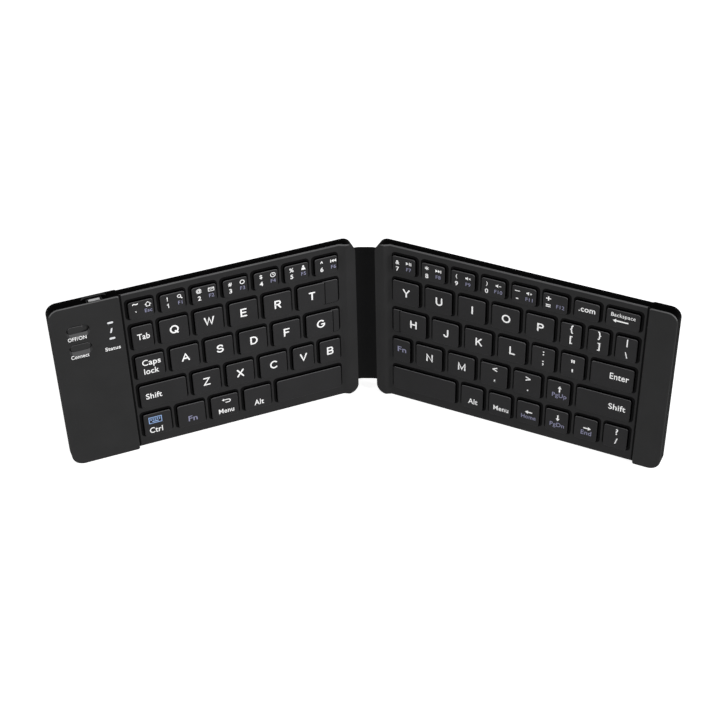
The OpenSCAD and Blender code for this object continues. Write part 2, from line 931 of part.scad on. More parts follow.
bottom_shell_left();
bottom_shell_right();
deck_left();
deck_right();
block_cover_left();
block_cover_right();
dome_sheet_left();
dome_sheet_right();
membrane_left();
membrane_right();
steel_plate_left();
steel_plate_right();
feet_left();
feet_right();
screws_left();
screws_right();
magnets_left();
magnets_right();
battery();
main_board();
charging_socket();
power_switch_knob();
connect_button();
status_lights();
strip_end_left();
strip_middle();
strip_end_right();
ribbon_cable();
left(["q"]);  // key_q
left(["w"]);  // key_w
left(["e"]);  // key_e
left(["r"]);  // key_r
left(["t"]);  // key_t
left(["a"]);  // key_a
left(["s"]);  // key_s
left(["d"]);  // key_d
left(["f"]);  // key_f
left(["g"]);  // key_g
left(["z"]);  // key_z
left(["x"]);  // key_x
left(["c"]);  // key_c
left(["v"]);  // key_v
left(["b"]);  // key_b
left(["space"]);  // space_left
right(["y"]);  // key_y
right(["u"]);  // key_u
right(["i"]);  // key_i
right(["o"]);  // key_o
right(["p"]);  // key_p
right(["h"]);  // key_h
right(["j"]);  // key_j
right(["k"]);  // key_k
right(["l"]);  // key_l
right(["n"]);  // key_n
right(["m"]);  // key_m
right(["space"]);  // space_right
left(NUMBER_KEYS_LEFT);  // number_keys_left
right(NUMBER_KEYS_RIGHT);  // number_keys_right
left(COMMAND_KEYS_LEFT);  // command_keys_left
right(COMMAND_KEYS_RIGHT);  // command_keys_right
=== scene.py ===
"""Folding keyboard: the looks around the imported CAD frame.

Pieces are drawn in millimetres, and MM turns them into the scene's metres.
"""
import collections
import json
import math

import bmesh
import bpy
from mathutils import Matrix, Vector

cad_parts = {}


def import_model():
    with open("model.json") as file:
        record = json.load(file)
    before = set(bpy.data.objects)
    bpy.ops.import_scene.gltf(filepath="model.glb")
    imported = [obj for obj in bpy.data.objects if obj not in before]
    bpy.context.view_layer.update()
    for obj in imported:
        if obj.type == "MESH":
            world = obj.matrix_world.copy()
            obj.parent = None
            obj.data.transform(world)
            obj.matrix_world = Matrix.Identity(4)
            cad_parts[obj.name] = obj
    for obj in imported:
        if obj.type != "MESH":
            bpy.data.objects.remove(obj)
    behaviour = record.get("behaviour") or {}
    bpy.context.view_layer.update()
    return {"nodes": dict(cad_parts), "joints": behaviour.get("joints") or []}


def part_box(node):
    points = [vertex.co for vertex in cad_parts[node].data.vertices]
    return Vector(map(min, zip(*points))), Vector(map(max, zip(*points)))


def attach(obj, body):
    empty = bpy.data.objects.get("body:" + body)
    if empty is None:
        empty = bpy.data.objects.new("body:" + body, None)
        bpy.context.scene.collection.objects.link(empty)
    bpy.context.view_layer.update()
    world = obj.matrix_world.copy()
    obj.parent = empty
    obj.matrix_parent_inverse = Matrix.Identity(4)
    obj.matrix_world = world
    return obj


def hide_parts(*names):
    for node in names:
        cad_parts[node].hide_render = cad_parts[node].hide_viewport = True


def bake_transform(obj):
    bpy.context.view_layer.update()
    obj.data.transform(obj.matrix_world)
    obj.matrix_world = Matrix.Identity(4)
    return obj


MM = 0.001
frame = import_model()
joints = {joint["name"]: joint for joint in frame["joints"]}

# ---- sizes, in millimetres ----

FLANGE_REACH = 0.9       # a keycap's hidden flange is wider than its top by this on each side
FLANGE_T = 0.6
LETTER_KEY_W = 13.7
LEDGE_DROP = 0.4         # the ledges beside T, G and H lie this far below the key's top
LEDGE_LINE = 0.45        # width of the shadow line beside a ledge
KEY_DRAFT = 0.15         # a keycap's foot is wider than its top by this on each side
KEY_EDGE_R = 0.4         # radius along a keycap's top edge
KEY_CORNER_R = 1.3
PRINT_T = 0.025          # thickness of the printed legends
DECK_H = 5.1
TRIM_T = 0.03            # thickness of the black sheets of painted shade: rims, rings and strips
BLOCK_SHADE_W = 1.2             # the black strip of painted shade along an end block reaches this far from it,
BLOCK_SHADE_OFF = 0.02          # starts this far from it,
BLOCK_SHADE_END = 0.1           # stops this far from the deck's front and rear edges
BLOCK_SHADE_R = 0.2             # and has round corners
KEY_GAP = 0.4            # between a key and its opening
OPENING_SHADE_REAR = 1.1           # widths of the painted shade, a black sheet, round an opening: behind it,
OPENING_SHADE_OUTER = 1.1          # on the side away from the hinge,
OPENING_SHADE_INNER = 0.4          # on the hinge side
OPENING_SHADE_FRONT = 0.1          # and in front
OPENING_SHADE_ROUNDER = 0.4        # its outside corners are rounder than the opening's by this
TONGUE_W = 5.2           # the charging socket's tongue
TONGUE_T = 1.6
TONGUE_DEPTH = 1.5
TONGUE_PROUD = 0.02      # it stands out of the socket by this
DISH_DEPTH = 0.6         # depth of the finger recesses
SWITCH_TRAVEL = 2.2
KNOB_LEN = 7.4
KNOB_D = 3.6
BUTTON_LEN = 9.4
CONTROL_SHADE_W = 0.8        # width of the painted shade, black rings round the switch's slot and the button
STRIP_T = 1.0
STRIP_ROUND = 0.75       # its edges' radius, as a share of half its thickness
STRIP_CLAMP = 7.0        # length of the strip inside a half
STRIP_BEND = 1.7         # the strip's bend starts this far from the bending line
AXIS_OFF = 2.25          # from a bending line to the hinge edge of its half

# ---- colours, linear ----

SHELL = (0.038, 0.038, 0.0385)
DECK = (0.0245, 0.0243, 0.0248)
BLOCK = (0.0255, 0.0255, 0.0258)
KEY = (0.0245, 0.0242, 0.0250)
CONTROL = (0.030, 0.030, 0.0303)
LEATHER = (0.0038, 0.0038, 0.004)
WHITE_PRINT = (0.97, 0.97, 0.97)
VIOLET_PRINT = (0.25, 0.25, 0.37)
BLUE_PRINT = (0.30, 0.46, 0.78)
PLASTIC_GLOSS = 0.045

# Painted light and shade on the plastics: how much of each of these a surface gets, as (how squarely it faces out
# of the keys, share): 0 is a wall and 1 a flat top.
PAINTED_WALL_SHADE = [(0.34, 0.03), (0.50, 1.0)]                                      # the tops' colour, its walls darkened by painted shade
PAINTED_EDGE_LIGHT = [(0.34, 0.0), (0.48, 1.0), (0.86, 1.0), (0.94, 0.0)]       # painted highlight on its rounded upper edges
PAINTED_REAR_HIGHLIGHT = [(0.5, 0.0), (0.6, 1.0)]                                    # painted highlight line along a rear edge
DISH_SLOPE = [(0.93, 0.0), (0.945, 1.0), (0.985, 1.0), (0.993, 0.0)]    # the finger recesses' slopes, which get painted light and shade
SHELL_PAINTED_SHADE = [(0.35, 0.07), (0.6, 1.0)]                                       # the bottom shells' colour, darkened on their walls by painted shade
GLOSS = [(0.3, 0.1), (0.6, 1.0)]                                        # gloss of all of them
# Painted light and shade on a recess's slope by how far it faces the rear: under 0.5 it faces the front, painted
# darker
DISH_PAINTED_LIGHT = [(0.44, 0.4), (0.49, 1.0), (0.51, 1.0), (0.56, 3.6)]
EDGE_LIGHT_GAIN = 4.6          # how much lighter than the tops the painted edge highlight is
EDGE_LIGHT_RISE = (0.15, 0.50)   # the painted highlight comes in where the normal's upward part rises through this
REAR_HIGHLIGHT_GAIN = 4.0          # the same for the painted highlight line along the decks' rear edge
REAR_HIGHLIGHT_W = 0.00095      # its width, in metres
REAR_HIGHLIGHT_BLUR = 0.0001       # and its blur


# ---- the two halves ----

class Panel:
    """A half's own frame: x runs along it as its keys are read, y up from its front edge, z out of its keys."""

    def __init__(self, shell, key_joint, hinge_is_left):
        out = -Vector(joints[key_joint]["axis"]).normalized()
        up = Vector((0, 0, 1))
        turn = Matrix((up.cross(out), up, out)).transposed()
        points = [turn.transposed() @ v.co for v in frame["nodes"][shell].data.vertices]
        xs = [p.x for p in points]
        origin = Vector((min(xs) if hinge_is_left else max(xs), 0, min(p.z for p in points)))
        self.matrix = Matrix.Translation(turn @ origin) @ turn.to_4x4()
        self.inverse = self.matrix.inverted()
        self.out = out
        self.outward = (turn @ Vector((1 if hinge_is_left else -1, 0, 0))).normalized()

    def boxes(self, node):
        """Each separate solid of a node as (lowest, highest) corner in millimetres, in reading order."""
        bm = bmesh.new()
        bm.from_mesh(frame["nodes"][node].data)
        bmesh.ops.remove_doubles(bm, verts=bm.verts, dist=1e-6)
        bm.verts.index_update()
        seen = set()
        found = []
        for start in bm.verts:
            if start.index in seen:
                continue
            seen.add(start.index)
            waiting = [start]
            points = []
            while waiting:
                v = waiting.pop()
                points.append(self.inverse @ v.co / MM)
                for edge in v.link_edges:
                    other = edge.other_vert(v)
                    if other.index not in seen:
                        seen.add(other.index)
                        waiting.append(other)
            low = [min(p[i] for p in points) for i in range(3)]
            high = [max(p[i] for p in points) for i in range(3)]
            found.append((low, high))
        bm.free()
        return sorted(found, key=lambda box: (-round(box[0][1]), box[0][0]))


left = Panel("bottom_shell_left", "key_q_press", hinge_is_left=False)
right = Panel("bottom_shell_right", "key_y_press", hinge_is_left=True)

# ---- materials ----


class Tree:
    """The nodes of a material or a world while they are put together."""

    def __init__(self, owner):
        owner.use_nodes = True
        self.nodes = owner.node_tree.nodes
        self.links = owner.node_tree.links

    def fill(self, node, inputs):
        """Links each input that is given an output, and sets each that is given a value."""
        for socket, value in inputs.items():
            if isinstance(value, bpy.types.NodeSocket):
                self.links.new(value, node.inputs[socket])
            else:
                node.inputs[socket].default_value = value

    def add(self, kind, inputs=None, **settings):
        node = self.nodes.new("ShaderNode" + kind)
        for setting, value in settings.items():
            setattr(node, setting, value)
        self.fill(node, inputs or {})
        return node

    def math(self, operation, *values):
        return self.add("Math", dict(enumerate(values)), operation=operation).outputs["Value"]


class Surface(Tree):
    """A new material with its shader and the object's own coordinates."""

    def __init__(self, name):
        self.material = bpy.data.materials.new(name)
        super().__init__(self.material)
        coordinates = self.add("TexCoord").outputs
        self.place, self.normal = coordinates["Object"], coordinates["Normal"]

    def finish(self, inputs):
        self.fill(self.nodes["Principled BSDF"], inputs)
        return self.material

    def noise(self, scale, detail=2.0, roughness=0.5, place=None):
        inputs = {"Scale": scale, "Detail": detail, "Roughness": roughness, "Vector": place or self.place}
        return self.add("TexNoise", inputs).outputs["Fac"]

    def mapped(self, value, low, high):
        """Spreads a noise's middle part over low to high."""
        inputs = {"Value": value, "From Min": 0.3, "From Max": 0.7, "To Min": low, "To Max": high}
        return self.add("MapRange", inputs).outputs["Result"]

    def tinted(self, colour, value, spread):
        """The colour, made lighter and darker by spread where value is high and low."""
        darker, lighter = ((*[c * share for c in colour], 1) for share in (1 - spread, 1 + spread))
        inputs = {"Factor": self.mapped(value, 0.0, 1.0), "A": darker, "B": lighter}
        return self.add("Mix", inputs, data_type="RGBA").outputs["Result"]

    def bumped(self, value, strength, depth, under=None):
        inputs = {"Height": value, "Strength": strength, "Distance": depth}
        if under is not None:
            inputs["Normal"] = under
        return self.add("Bump", inputs).outputs["Normal"]

    def along(self, vector, axis):
        return self.add("SeparateXYZ", {"Vector": vector}).outputs[axis]

    def scaled(self, colour, share):
        return self.add("VectorMath", {0: colour, "Scale": share}, operation="SCALE").outputs["Vector"]

    def ramp(self, value, stops):
        """Maps a value through shares given as (value, share)."""
        top = max(share for _, share in stops)
        levels = self.add("ValToRGB", {"Fac": value})
        while len(levels.color_ramp.elements) < len(stops):
            levels.color_ramp.elements.new(0.5)
        for element, (at, share) in zip(levels.color_ramp.elements, stops):
            element.position = at
            element.color = (share / top, share / top, share / top, 1)
        return self.math("MULTIPLY", levels.outputs["Color"], top)

    def facing(self, normal):
        """How squarely the surface faces out of its own half's keys: 1 on flat tops, 0 on walls, -1 on the back."""
        on_left, on_right = [
            self.add("VectorMath", {0: normal, 1: panel.out}, operation="DOT_PRODUCT").outputs["Value"]
            for panel in (left, right)]
        is_right = self.math("GREATER_THAN", self.along(self.place, "X"), 0.0)
        return self.math("MULTIPLY_ADD", is_right, self.math("SUBTRACT", on_right, on_left), on_left)

    def face_normal(self):
        """The normal of each flat face, in the object's own frame."""
        inputs = {"Vector": self.add("NewGeometry").outputs["True Normal"]}
        turn = self.add("VectorTransform", inputs, vector_type="NORMAL", convert_from="WORLD", convert_to="OBJECT")
        return turn.outputs["Vector"]

    def paint_light_and_shade(self, colour, recess, rear):
        """The tops' colour, walls darkened by painted shade, and a painted highlight on the rounded upper edges.

        With recess the slopes of the finger recesses get painted light and shade. A painted highlight line runs below
        the height rear, if any.
        """
        normal = self.face_normal() if recess else self.normal
        flat = self.facing(normal)
        up = self.along(normal, "Z")
        # A painted highlight on the rounded upper edges
        inputs = {"Value": up, "From Min": EDGE_LIGHT_RISE[0], "From Max": EDGE_LIGHT_RISE[1]}
        upper = self.add("MapRange", inputs, interpolation_type="SMOOTHSTEP").outputs["Result"]
        edge_light = self.math("MULTIPLY", self.ramp(flat, PAINTED_EDGE_LIGHT), upper)
        # The tops' colour with painted shade on the walls, plus the painted highlight on the upper edges
        share = self.math("MULTIPLY_ADD", edge_light, EDGE_LIGHT_GAIN - 1, self.ramp(flat, PAINTED_WALL_SHADE))
        if rear:
            # A painted highlight line just below the rear height
            start = rear - REAR_HIGHLIGHT_W
            inputs = {"Value": self.along(self.place, "Z"), "From Min": start, "From Max": start + REAR_HIGHLIGHT_BLUR}
            behind = self.add("MapRange", inputs).outputs["Result"]
            line = self.math("MULTIPLY", behind, self.ramp(flat, PAINTED_REAR_HIGHLIGHT))
            share = self.math("MULTIPLY_ADD", line, REAR_HIGHLIGHT_GAIN - 1, share)
        if recess:
            # Painted light on the recess slopes facing the rear and painted shade on those facing the front
            to_rear = self.math("MULTIPLY_ADD", up, 0.5, 0.5)
            gain = self.math("SUBTRACT", self.ramp(to_rear, DISH_PAINTED_LIGHT), 1.0)
            share = self.math("MULTIPLY_ADD", self.ramp(flat, DISH_SLOPE), gain, share)
        return self.scaled(colour, share)


def moulded(name, colour, roughness=0.5, grain=5200, depth=0.00004, spread=0.06, gloss=PLASTIC_GLOSS,
            painted_light=False, recess=False, back=False, rear=0.0):
    """Moulded plastic: a fine spark-eroded grain, broad faint unevenness and slightly varied gloss.

    It can also carry painted light and shade by how its surface faces: on tops, walls and edges, or on a shell's
    walls.
    """
    surface = Surface(name)
    fine = surface.noise(grain, 3.0, 0.6)
    colours = surface.tinted(colour, surface.noise(70, 3.0), spread)
    if painted_light:
        colours = surface.paint_light_and_shade(colours, recess, rear)
    if painted_light or back:
        flat = surface.math("ABSOLUTE", surface.facing(surface.normal))
        if back:
            # Painted shade: a shell's walls are darkened to a small share of its colour
            colours = surface.scaled(colours, surface.ramp(flat, SHELL_PAINTED_SHADE))
        gloss = surface.math("MULTIPLY", surface.ramp(flat, GLOSS), gloss)
    return surface.finish({
        "Base Color": colours, "Specular IOR Level": gloss,
        "Roughness": surface.mapped(fine, roughness - 0.05, roughness + 0.07),
        "Normal": surface.bumped(fine, 0.35, depth)})


def leather(name, colour):
    """Soft black coated leather: a pebbled grain with fine creases between the pebbles."""
    surface = Surface(name)
    cells = surface.add("TexVoronoi", {"Scale": 1900, "Vector": surface.place}, feature="SMOOTH_F1")
    creases = surface.bumped(cells.outputs["Distance"], 0.4, 0.00006)
    broad = surface.noise(160, 3.0)
    return surface.finish({
        "Base Color": surface.tinted(colour, broad, 0.12), "Specular IOR Level": PLASTIC_GLOSS,
        "Roughness": surface.mapped(broad, 0.5, 0.62),
        "Normal": surface.bumped(surface.noise(4200), 0.2, 0.00003, creases)})


def metal(name, colour, roughness, scratch=900):
    """Sheet or turned metal with faint drawing marks."""
    surface = Surface(name)
    stretched = surface.add("Mapping", {"Vector": surface.place, "Scale": (1.0, 1.0, 0.08)})
    marks = surface.noise(scratch, 4.0, place=stretched.outputs["Vector"])
    return surface.finish({
        "Base Color": surface.tinted(colour, marks, 0.07), "Metallic": 1.0,
        "Roughness": surface.mapped(marks, roughness - 0.06, roughness + 0.08),
        "Normal": surface.bumped(marks, 0.15, 0.00002)})


def printed(name, colour):
    """Printed legend ink, slightly uneven in cover."""
    surface = Surface(name)
    cover = surface.noise(2600)
    return surface.finish({
        "Base Color": surface.tinted(colour, cover, 0.03), "Specular IOR Level": 0.3,
        "Roughness": surface.mapped(cover, 0.5, 0.6)})


MATERIALS = {
    "shell": moulded("shell_plastic", SHELL, 0.5, back=True),
    "deck": moulded("deck_plastic", DECK, 0.5, painted_light=True, rear=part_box("deck_left")[1].z),
    "block": moulded("block_plastic", BLOCK, 0.5, painted_light=True, recess=True),
    "key": moulded("key_plastic", KEY, 0.5, grain=6500, depth=0.00003, painted_light=True),
    "control": moulded("control_plastic", CONTROL, 0.42, grain=6500, depth=0.00002, painted_light=True),
    # A near-white tongue, thicker than the socket's own, that paints the bright highlight in the charging socket
    "tongue": moulded("tongue_painted_highlight", (0.95, 0.95, 0.96), 0.4, 2500, 0.00001, spread=0.02, gloss=0.3),
    "leather": leather("strip_leather", LEATHER),
    "white": printed("legend_white", WHITE_PRINT),
    "violet": printed("legend_violet", VIOLET_PRINT),
    "blue": printed("legend_blue", BLUE_PRINT),
    "light": moulded("light_window", (0.75, 0.76, 0.78), 0.35, 3000, 0.00001, spread=0.02, gloss=0.3),
    "silicone": moulded("dome_rubber", (0.62, 0.62, 0.6), 0.5, 1500, 0.00002, spread=0.04),
    "film": moulded("membrane_film", (0.6, 0.62, 0.54), 0.4, 500, 0.00001, spread=0.05),
    # A near-black sheet that paints shade round the keys' openings and the controls, beside the end blocks and the
    # ledges
    "seam": moulded("black_painted_shade", (0.0022, 0.0022, 0.0023), 0.7),
    "rubber": moulded("foot_rubber", (0.014, 0.014, 0.014), 0.75, 3800, 0.00005),
    "steel": metal("steel_sheet", (0.55, 0.56, 0.58), 0.38),
    "screw": metal("screw_steel", (0.18, 0.18, 0.19), 0.35, 1800),
    "magnet": metal("magnet_nickel", (0.72, 0.70, 0.68), 0.22),
    # Near-black metal that paints the shade inside the charging socket
    "socket": metal("socket_metal", (0.03, 0.03, 0.032), 0.4, 1500),
    "pouch": metal("battery_pouch", (0.50, 0.52, 0.55), 0.45, 400),
    "board": moulded("board_resist", (0.012, 0.085, 0.035), 0.35, 900, 0.00001, spread=0.15),
    "ribbon": moulded("ribbon_film", (0.55, 0.28, 0.07), 0.35, 700, 0.00001, spread=0.08),
}

# ---- how the CAD's own pieces are dressed ----

SMOOTH_DEGREES = 32      # sharper edges than this are shown sharp
FLAT_DEGREES = 0.5       # faces that meet at less than this are merged before bevelling
BEVEL_DEGREES = 34       # edges sharper than this are bevelled
WELD = 2e-6              # in metres


def show_smooth(mesh):
    if "custom_normal" in mesh.attributes:
        mesh.attributes.remove(mesh.attributes["custom_normal"])
    mesh.polygons.foreach_set("use_smooth", [True] * len(mesh.polygons))
    mesh.set_sharp_from_angle(angle=math.radians(SMOOTH_DEGREES))


def dress(node, material, edge=0.0, segments=2):
    """Gives a CAD node its material and softens its edges by that radius in millimetres."""
    obj = frame["nodes"][node]
    obj.data.materials.clear()
    obj.data.materials.append(MATERIALS[material])
    show_smooth(obj.data)
    weld = obj.modifiers.new("weld", "WELD")
    weld.merge_threshold = WELD
    if edge:
        plane = obj.modifiers.new("flats", "DECIMATE")
        plane.decimate_type = "DISSOLVE"
        plane.angle_limit = math.radians(FLAT_DEGREES)
        bevel = obj.modifiers.new("edge", "BEVEL")
        bevel.limit_method = "ANGLE"
        bevel.angle_limit = math.radians(BEVEL_DEGREES)
        bevel.width = edge * MM
        bevel.segments = segments
        bevel.harden_normals = True
        bevel.miter_outer = "MITER_ARC"


for side in ("left", "right"):
    dress("bottom_shell_" + side, "shell", 0.15)
    dress("deck_" + side, "deck", 0.3)
    dress("block_cover_" + side, "block", 0.14)
    dress("feet_" + side, "rubber", 0.15)
    dress("screws_" + side, "screw", 0.08)
    dress("magnets_" + side, "magnet", 0.1)
    dress("steel_plate_" + side, "steel")
    dress("membrane_" + side, "film")
    dress("dome_sheet_" + side, "silicone")
dress("power_switch_knob", "control", 0.25, 3)
dress("connect_button", "control", 0.25, 3)
dress("status_lights", "light", 0.08)
dress("charging_socket", "socket", 0.08)
dress("battery", "pouch", 0.8, 3)
dress("main_board", "board", 0.06)
dress("ribbon_cable", "ribbon")

# ---- mesh helpers; shapes are drawn in a panel's millimetres ----


def new_piece(name, bm, material, matrix=None):
    """Turns drawn shapes into an object, by the matrix if they aren't in metres and in their place."""
    bmesh.ops.recalc_face_normals(bm, faces=bm.faces)
    mesh = bpy.data.meshes.new(name)
    bm.to_mesh(mesh)
    bm.free()
    if matrix is not None:
        mesh.transform(matrix)
    show_smooth(mesh)
    obj = bpy.data.objects.new(name, mesh)
    bpy.context.scene.collection.objects.link(obj)
    mesh.materials.append(MATERIALS[material])
    return obj


def finish_mesh(name, bm, panel, material, body):
    """Turns the shapes drawn in a panel's frame into a piece that rides on a body."""
    obj = new_piece(name, bm, material, panel.matrix @ Matrix.Scale(MM, 4))
    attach(obj, body)
    return obj


def rounded(x0, y0, x1, y1, r, steps=5):
    """Outline of a rectangle with round corners, anticlockwise."""
    points = []
    for x, y, start in ((x1 - r, y1 - r, 0), (x0 + r, y1 - r, 90), (x0 + r, y0 + r, 180), (x1 - r, y0 + r, 270)):
        for i in range(steps + 1):
            a = math.radians(start + 90 * i / steps)
            points.append((x + r * math.cos(a), y + r * math.sin(a)))
    return points


def at_height(outline, z):
    return [(x, y, z) for x, y in outline]


def middle(box):
    return [(low + high) / 2 for low, high in zip(*box)]


def loft(bm, rings):
    """A closed solid through rings of as many points each; each ring is a list of (x, y, z)."""
    loops = [[bm.verts.new(p) for p in ring] for ring in rings]
    count = len(loops[0])
    for a, b in zip(loops, loops[1:]):
        for i in range(count):
            j = (i + 1) % count
            bm.faces.new((a[i], a[j], b[j], b[i]))
    bm.faces.new(list(reversed(loops[0])))
    bm.faces.new(loops[-1])


def flat_ring(bm, hole, edge, z):
    """A ring as thick as the trim, lying on z between two outlines of as many points each."""
    inner, inner_top, outer, outer_top = (
        [bm.verts.new((x, y, z + lift)) for x, y in outline] for outline in (hole, edge) for lift in (0.0, TRIM_T))
    for i in range(len(inner)):
        j = (i + 1) % len(inner)
        for a, b in ((inner_top, outer_top), (outer_top, outer), (outer, inner), (inner, inner_top)):
            bm.faces.new((a[i], a[j], b[j], b[i]))


# ---- keycaps ----

EDGE_STEPS = 4           # of a keycap's rounded top edge
EDGE_SHRINK = 0.6        # share of that edge's inset by which the corner radius shrinks
TOP_INSET = 0.12         # of a last ring inside the flat top,
TOP_R = 0.5              # and its corner radius


def key_top(box):
    """The top's (x0, y0, x1, y1) from the box of a keycap's solid, which its hidden flange widens."""
    low, high = box
    return low[0] + FLANGE_REACH, low[1] + FLANGE_REACH, high[0] - FLANGE_REACH, high[1] - FLANGE_REACH


def draw_cap(bm, x0, y0, x1, y1, foot_z, top_z):
    """A keycap's drafted wall, its rounded top edge and its flat top, from foot_z up."""
    def outline(inset, r, z):
        return at_height(rounded(x0 + inset, y0 + inset, x1 - inset, y1 - inset, r), z)

    rings = [outline(-KEY_DRAFT, KEY_CORNER_R + KEY_DRAFT, foot_z)]
    for i in range(EDGE_STEPS + 1):
        a = math.radians(90 * i / EDGE_STEPS)
        inset = KEY_EDGE_R * (1 - math.cos(a))
        z = top_z - KEY_EDGE_R + KEY_EDGE_R * math.sin(a)
        rings.append(outline(inset, KEY_CORNER_R - inset * EDGE_SHRINK, z))
    rings.append(outline(inset + TOP_INSET, TOP_R, top_z))
    loft(bm, rings)


def draw_keycap(bm, box, ledge_side):
    """A keycap from its CAD solid's box. ledge_side is -1 or 1 where a lower ledge lies at its left or right."""
    low, high = box
    foot = low[2] + FLANGE_T
    flange = rounded(low[0], low[1], high[0], high[1], KEY_CORNER_R + FLANGE_REACH)
    loft(bm, [at_height(flange, low[2]), at_height(flange, foot)])
    x0, y0, x1, y1 = key_top(box)
    if ledge_side:
        draw_cap(bm, x0, y0, x1, y1, foot, high[2] - LEDGE_DROP)
        if ledge_side > 0:
            x1 = x0 + LETTER_KEY_W
        else:
            x0 = x1 - LETTER_KEY_W
    draw_cap(bm, x0, y0, x1, y1, foot, high[2])


# ---- letters of the letter keys, drawn in strokes ----


def arc(x, y, rx, ry, start, end, steps=10):
    """Points around (x, y) from one angle to another, in degrees."""
    turns = [math.radians(start + (end - start) * i / steps) for i in range(steps + 1)]
    return [(x + rx * math.cos(a), y + ry * math.sin(a)) for a in turns]


STROKE = 0.165           # width of a stroke, as a share of a letter's height
RING = arc(0.46, 0.5, 0.46, 0.5, 0, 345, 23)
BOWL = [(0, 1), (0.40, 1)] + arc(0.40, 0.745, 0.25, 0.255, 80, -80) + [(0.40, 0.49), (0, 0.49)]
# Strokes of each letter: the middle lines, 1 high
LETTERS = {
    "A": [[(0, 0), (0.42, 1), (0.84, 0)], [(0.16, 0.32), (0.68, 0.32)]],
    "B": [BOWL, [(0, 1), (0, 0), (0.42, 0)] + arc(0.42, 0.25, 0.27, 0.25, -80, 80) + [(0.36, 0.5)]],
    "C": [arc(0.46, 0.5, 0.46, 0.5, 48, 312, 18)],
    "D": [[(0, 0), (0, 1), (0.30, 1)] + arc(0.30, 0.5, 0.46, 0.5, 80, -80) + [(0.30, 0), (0, 0)]],
    "E": [[(0.62, 1), (0, 1), (0, 0), (0.64, 0)], [(0, 0.52), (0.56, 0.52)]],
    "F": [[(0.60, 1), (0, 1), (0, 0)], [(0, 0.50), (0.52, 0.50)]],
    "G": [arc(0.46, 0.5, 0.46, 0.5, 48, 335, 18) + [(0.90, 0.46), (0.54, 0.46)]],
    "H": [[(0, 0), (0, 1)], [(0.70, 0), (0.70, 1)], [(0, 0.52), (0.70, 0.52)]],
    "I": [[(0, 0), (0, 1)]],
    "J": [[(0.48, 1), (0.48, 0.27)] + arc(0.24, 0.25, 0.24, 0.25, -10, -170)],
    "K": [[(0, 0), (0, 1)], [(0.64, 1), (0.03, 0.38)], [(0.24, 0.58), (0.68, 0)]],
    "L": [[(0, 1), (0, 0), (0.56, 0)]],
    "M": [[(0, 0), (0, 1), (0.42, 0.10), (0.84, 1), (0.84, 0)]],
    "N": [[(0, 0), (0, 1), (0.70, 0), (0.70, 1)]],
    "O": [RING],
    "P": [[(0, 0)] + BOWL],
    "Q": [RING, [(0.58, 0.24), (0.88, -0.04)]],
    "R": [[(0, 0)] + BOWL, [(0.34, 0.48), (0.66, 0)]],
    "S": [arc(0.36, 0.745, 0.32, 0.255, 15, 255, 12) + arc(0.36, 0.255, 0.36, 0.255, 75, -160, 12)],
    "T": [[(0, 1), (0.66, 1)], [(0.33, 1), (0.33, 0)]],
    "1": [[(0, 0.74), (0.26, 1), (0.26, 0)]],
    "U": [[(0, 1), (0, 0.34)] + arc(0.35, 0.34, 0.35, 0.34, 188, 352) + [(0.70, 0.34), (0.70, 1)]],
    "V": [[(0, 1), (0.39, 0), (0.78, 1)]],
    "W": [[(0, 1), (0.28, 0), (0.56, 0.96), (0.84, 0), (1.12, 1)]],
    "X": [[(0, 0), (0.74, 1)], [(0, 1), (0.74, 0)]],
    "Y": [[(0, 1), (0.38, 0.46), (0.76, 1)], [(0.38, 0.46), (0.38, 0)]],
    "Z": [[(0, 1), (0.68, 1), (0, 0), (0.70, 0)]],
}
LIFT = 0.0005            # each stroke of a letter lies this much higher than the one before


def draw_letter(bm, name, height, x, y, z):
    """Draws a capital with round stroke ends, its foot at y and its middle at x."""
    strokes = LETTERS[name]
    xs = [p[0] for stroke in strokes for p in stroke]
    size = height * (1 - STROKE)
    width = height * STROKE
    x -= (min(xs) + max(xs)) / 2 * size
    y += width / 2
    for i, stroke in enumerate(strokes):
        points = [(p[0] * size, p[1] * size) for p in stroke]
        draw_stroke(bm, points, width, x, y, z + LIFT * i, closed=stroke is RING, ends=stroke is not RING)


# ---- lettering ----

BOLD = 0.012             # how far the built-in font's outlines are moved out, for words,
SIGN_BOLD = 0.018        # for single signs
FINE = 0.004             # and for words with capitals under SMALL
SMALL = 2.7
CAPITAL = 0.682          # height of the font's capitals
SPACING = 1.04


def lettering(word, bold):
    """The word as a mesh, its baseline on y = 0, its capitals 1 high and starting at x = 0, and 1 thick."""
    curve = bpy.data.curves.new("lettering", "FONT")
    curve.body = word
    curve.offset = bold
    curve.extrude = 0.5
    curve.resolution_u = 4
    curve.space_character = SPACING
    obj = bpy.data.objects.new("lettering", curve)
    bpy.context.scene.collection.objects.link(obj)
    bpy.context.view_layer.update()
    mesh = bpy.data.meshes.new_from_object(obj.evaluated_get(bpy.context.evaluated_depsgraph_get()))
    bpy.data.objects.remove(obj)
    bpy.data.curves.remove(curve)
    start = min(v.co.x for v in mesh.vertices)
    capital = CAPITAL + 2 * bold
    to_start = Matrix.Translation((-start / capital, bold / capital, 0.5))
    mesh.transform(to_start @ Matrix.Diagonal((1 / capital, 1 / capital, 1, 1)))
    return mesh


def draw_word(bm, word, cap, x, y, z, width=None, bold=BOLD):
    """Draws a word with its baseline at y, its capitals cap high and its middle at x."""
    mesh = lettering(word, bold)
    natural = max(v.co.x for v in mesh.vertices)
    scale_x = width / natural if width else cap
    mesh.transform(Matrix.Diagonal((scale_x, cap, PRINT_T, 1)))
    mesh.transform(Matrix.Translation((-0.5 * natural * scale_x, 0, 0)))
    mesh.transform(Matrix.Translation((x, y, z)))
    bm.from_mesh(mesh)
    bpy.data.meshes.remove(mesh)


MITER = 0.62             # least cosine of half a corner's turn that is mitered in full; sharper corners grow no more
END_DROP = 0.0003        # a stroke's round ends lie this much lower than the stroke
END_STEPS = 14


